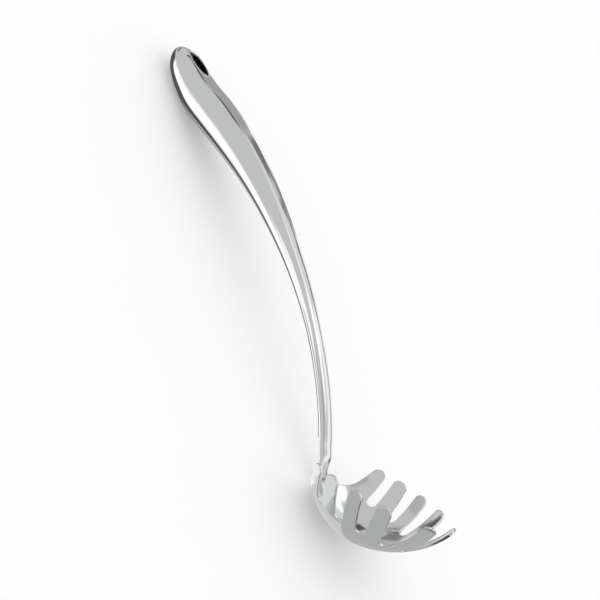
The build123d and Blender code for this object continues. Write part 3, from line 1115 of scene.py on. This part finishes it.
# Name, west and east ends, low and high ends, softness, brightness
tent_panels = (
    ("grey cloth under the bowl", -80, 100, -95, -16, 8, 0.52),
    ("grey flag over the front", -98, -60, 8, 30, 6, 0.46),
    ("front white reflector", -147, -100, -49, -28, 20, 1.4),
    ("dark gap between table and wall", -96, -57, -28, 7, 3, 0.02),
    ("dark gap on the far side", -57, 60, -16, 3, 3, 0.03),
    ("white corner of the front reflector", -111, -104, -20, 22, 3.5, 1.2),
    ("dark gap beyond the handle's end", -200, -163, -40, -17, 5, 0.17),
    ("dark line on the horizon", 160, 184, -5, 3, 2, 0.25),
    # Painted shade: the handle's own shadow on the table, as its reflection would show it
    ("painted reflection of the handle's shadow", 152, 200, -71, -22, 6, 0.1),
    # Painted shade: the same shadow of the handle, further round on the far side
    ("painted reflection of the handle's shadow, far side", 104, 148, -46, -20, 5, 0.1),
    ("grey gap above the handle", 145, 158, 15, 38, 3, 0.33),
    ("dark line above the handle's end", 158, 177, 28, 39, 2, 0.1),
    ("dark gap beside the table", 100, 136, -30, -4, 3, 0.1),
    ("grey flag over the neck", -84, -64, 18, 62, 10, 0.46),
    ("bright wall beyond the bowl", -40, 48, 15, 60, 8, 1.05),
    ("lamp straight above", -180, 180, 78, 90, 5, 1.3),
    ("grey side of the table", 84, 103, -30, 24, 4, 0.5),
    ("low white side card", 106, 132, -6, 13, 2.5, 1.35),
    ("side lamp", 56, 110, 35, 56, 5, 1.08),
    ("pale wall beside the lamp", 112, 150, 33, 56, 5, 0.82),
    ("overhead lamp", 100, 152, 58, 80, 4, 1.25),
    ("dark flag beyond the bowl", 52, 76, 6, 28, 4, 0.15),
    ("grey gap beside the side card", 135, 152, -16, 24, 2, 0.42),
    ("dark line along the side card", 134.5, 136.5, 0, 13, 1, 0.42),
    ("dark seam between the side cards", 118.5, 123, -10, 12, 1.5, 0.22),
    ("dark seam, second step", 122.5, 126, 11, 17, 1.5, 0.22),
    ("dark seam, third step", 125.5, 133, 16, 23, 1.5, 0.22),
    ("dark edge under the side lamp", 98, 112, 26, 34, 1.5, 0.35),
    ("black edge, second step", 111, 119, 26, 31, 1.5, 0.06),
    ("black edge, third step", 118, 125, 22.5, 27, 1.5, 0.06),
)
tent_radius = 3.0
tent_steps = 360


def window(value, low, high, soft):
    """1 between low and high, fading to 0 over the soft edge outside them."""
    rise = np.clip((value - low) / soft + 1, 0, 1) * np.clip((high - value) / soft + 1, 0, 1)
    return rise * rise * (3 - 2 * rise)


# %% Studio tent
compass = np.linspace(-180, 180, tent_steps + 1)[:-1]
height = np.linspace(-90, 90, tent_steps // 2 + 1)
compass, height = np.meshgrid(compass, height)
level = np.full(compass.shape, cloth_level)
for _, west, east, low, high, soft, bright in tent_panels:
    off_middle = (compass - (west + east) / 2 + 180) % 360 - 180
    half_span = (east - west) / 2
    share = window(off_middle, -half_span, half_span, soft) * window(height, low, high, soft)
    level = level + (bright - level) * share
flat_way, up_way = np.cos(np.radians(height)), np.sin(np.radians(height))
tent_points = tent_radius * np.stack([flat_way * np.cos(np.radians(compass)),
                                      flat_way * np.sin(np.radians(compass)), up_way], -1)
tent_mesh = bpy.data.meshes.new("studio_tent")
tent_mesh.from_pydata([tuple(point) for point in tent_points.reshape(-1, 3)], [],
                      ring_faces(len(tent_points), tent_steps))
tent_mesh.attributes.new("brightness", "FLOAT", "POINT").data.foreach_set(
    "value", level.reshape(-1).astype(np.float32))
tent = placed("studio_tent", tent_mesh)
print("tent panels:", [panel[0] for panel in tent_panels])


# %% Lit cloth and paper
def lit_from_behind(name, brightness):
    """Cloth or paper that glows. Its brightness is a number or the name of a mesh attribute."""
    material = bpy.data.materials.new(name)
    tree = bare_tree(material)
    if isinstance(brightness, str):
        painted = node(tree, "ShaderNodeAttribute", {"attribute_name": brightness})
        brightness = painted.outputs["Fac"]
    glow = node(tree, "ShaderNodeEmission", Color=hex_colour("#FFFFFF"), Strength=brightness)
    node(tree, "ShaderNodeOutputMaterial", Surface=glow.outputs[0])
    material.cycles.emission_sampling = "NONE"
    return material


def only_reflected(thing):
    """Hides a thing from everything but the reflections."""
    for ray in ("camera", "diffuse", "shadow", "transmission", "volume_scatter"):
        setattr(thing, "visible_" + ray, False)


# Translucent diffuser cloth: an even glow with soft borders, which the steel shows as bands
tent_mesh.materials.append(lit_from_behind("lit_tent_cloth", "brightness"))
only_reflected(tent)
print("tent cloth:", tent_mesh.materials[0].name)

# %% [markdown]
# ## Cards by the bowl
#
# Five flat cards lie or stand close to the bowl, where its own reflections meet them but those
# of the handle hardly do. Four lie on the table and set the tones of the bowl's lower faces,
# from white behind it to mid grey beside it. The fifth stands in front of it and gives its
# outside one even grey. The camera doesn't see them either. Panels of the tent couldn't do this,
# because they are so far away that handle and bowl would both show them.


# %% Cards by the bowl
def studio_card(name, corners, brightness):
    """A flat glowing card that only reflections see."""
    mesh = bpy.data.meshes.new(name)
    mesh.from_pydata(corners, [], [(0, 1, 2, 3)])
    # Coated card, lit evenly: one flat tone, which gives the steel its calm greys
    mesh.materials.append(lit_from_behind(name + "_paper", brightness))
    card = placed(name, mesh)
    only_reflected(card)
    print("card:", name, "brightness:", brightness)


def table_card(name, west, east, south, north, lift, brightness):
    """A card that lies on the table, given by the limits of its X and its Y."""
    studio_card(name, [(west, south, lift), (east, south, lift), (east, north, lift),
                       (west, north, lift)], brightness)


def standing_card(name, start, end, low, high, brightness):
    """A card that stands on the line from start to end, between two heights."""
    studio_card(name, [(*start, low), (*end, low), (*end, high), (*start, high)], brightness)


# %% Place the cards
# Name, west and east ends, south and north ends, height over the table, brightness
table_cards = (
    ("white_card_behind_bowl", 0.085, 0.115, -0.036, 0.14, 0.0001, 1.05),
    ("grey_card_under_bowl", 0.115, 0.15, -0.02, 0.14, 0.0001, 0.72),
    ("grey_card_beside_bowl", 0.0, 0.19, -0.13, -0.036, 0.0001, 0.52),
    ("light_card_beside_bowl", 0.111, 0.133, -0.06, -0.02, 0.0003, 0.84),
)
for table_row in table_cards:
    table_card(*table_row)
standing_card("grey_card_before_bowl", start=(0.05, -0.09), end=(0.19, -0.09), low=0.001,
              high=0.09, brightness=0.66)

# %% [markdown]
# ## Camera
#
# The camera's three directions and its distance were worked out from the photograph's
# perspective, in the bowl's frame. The server lies on its back while the picture shows it
# upright, so the camera is rolled. A tracking constraint would keep it level, so its directions
# are set as a matrix instead.

# %% Camera
camera_ways = np.array([(0.73236, 0.63902, 0.23517), (-0.18056, -0.15075, 0.97194),
                        (0.65654, -0.75427, 0.00498)])
# Where the bowl's centre lies in the view, right and up, and how far off it is, in millimetres
camera_offset = np.array([40.722, -82.846, 0.0])
camera_distance = 736.0
focal_pixels, picture_pixels = 1467.89, 600

camera_data = bpy.data.cameras.new("camera")
camera_data.sensor_width = 36.0
camera_data.lens = focal_pixels / picture_pixels * camera_data.sensor_width
camera = placed("camera", camera_data)
place = laid(camera_ways.T @ (np.array([0, 0, camera_distance]) - camera_offset))
ways = turned(camera_ways)
turn = Matrix([ways[:, k] for k in range(3)]).to_4x4()
camera.matrix_world = Matrix.Translation(Vector(place)) @ turn
bpy.context.scene.camera = camera
print("camera at m:", np.round(place, 3), "looks along", np.round(-ways[2], 3))

# %% Plain view settings
bpy.context.scene.view_settings.view_transform = "Standard"
print("view:", bpy.context.scene.view_settings.view_transform)

# %% Update the scene
bpy.context.view_layer.update()
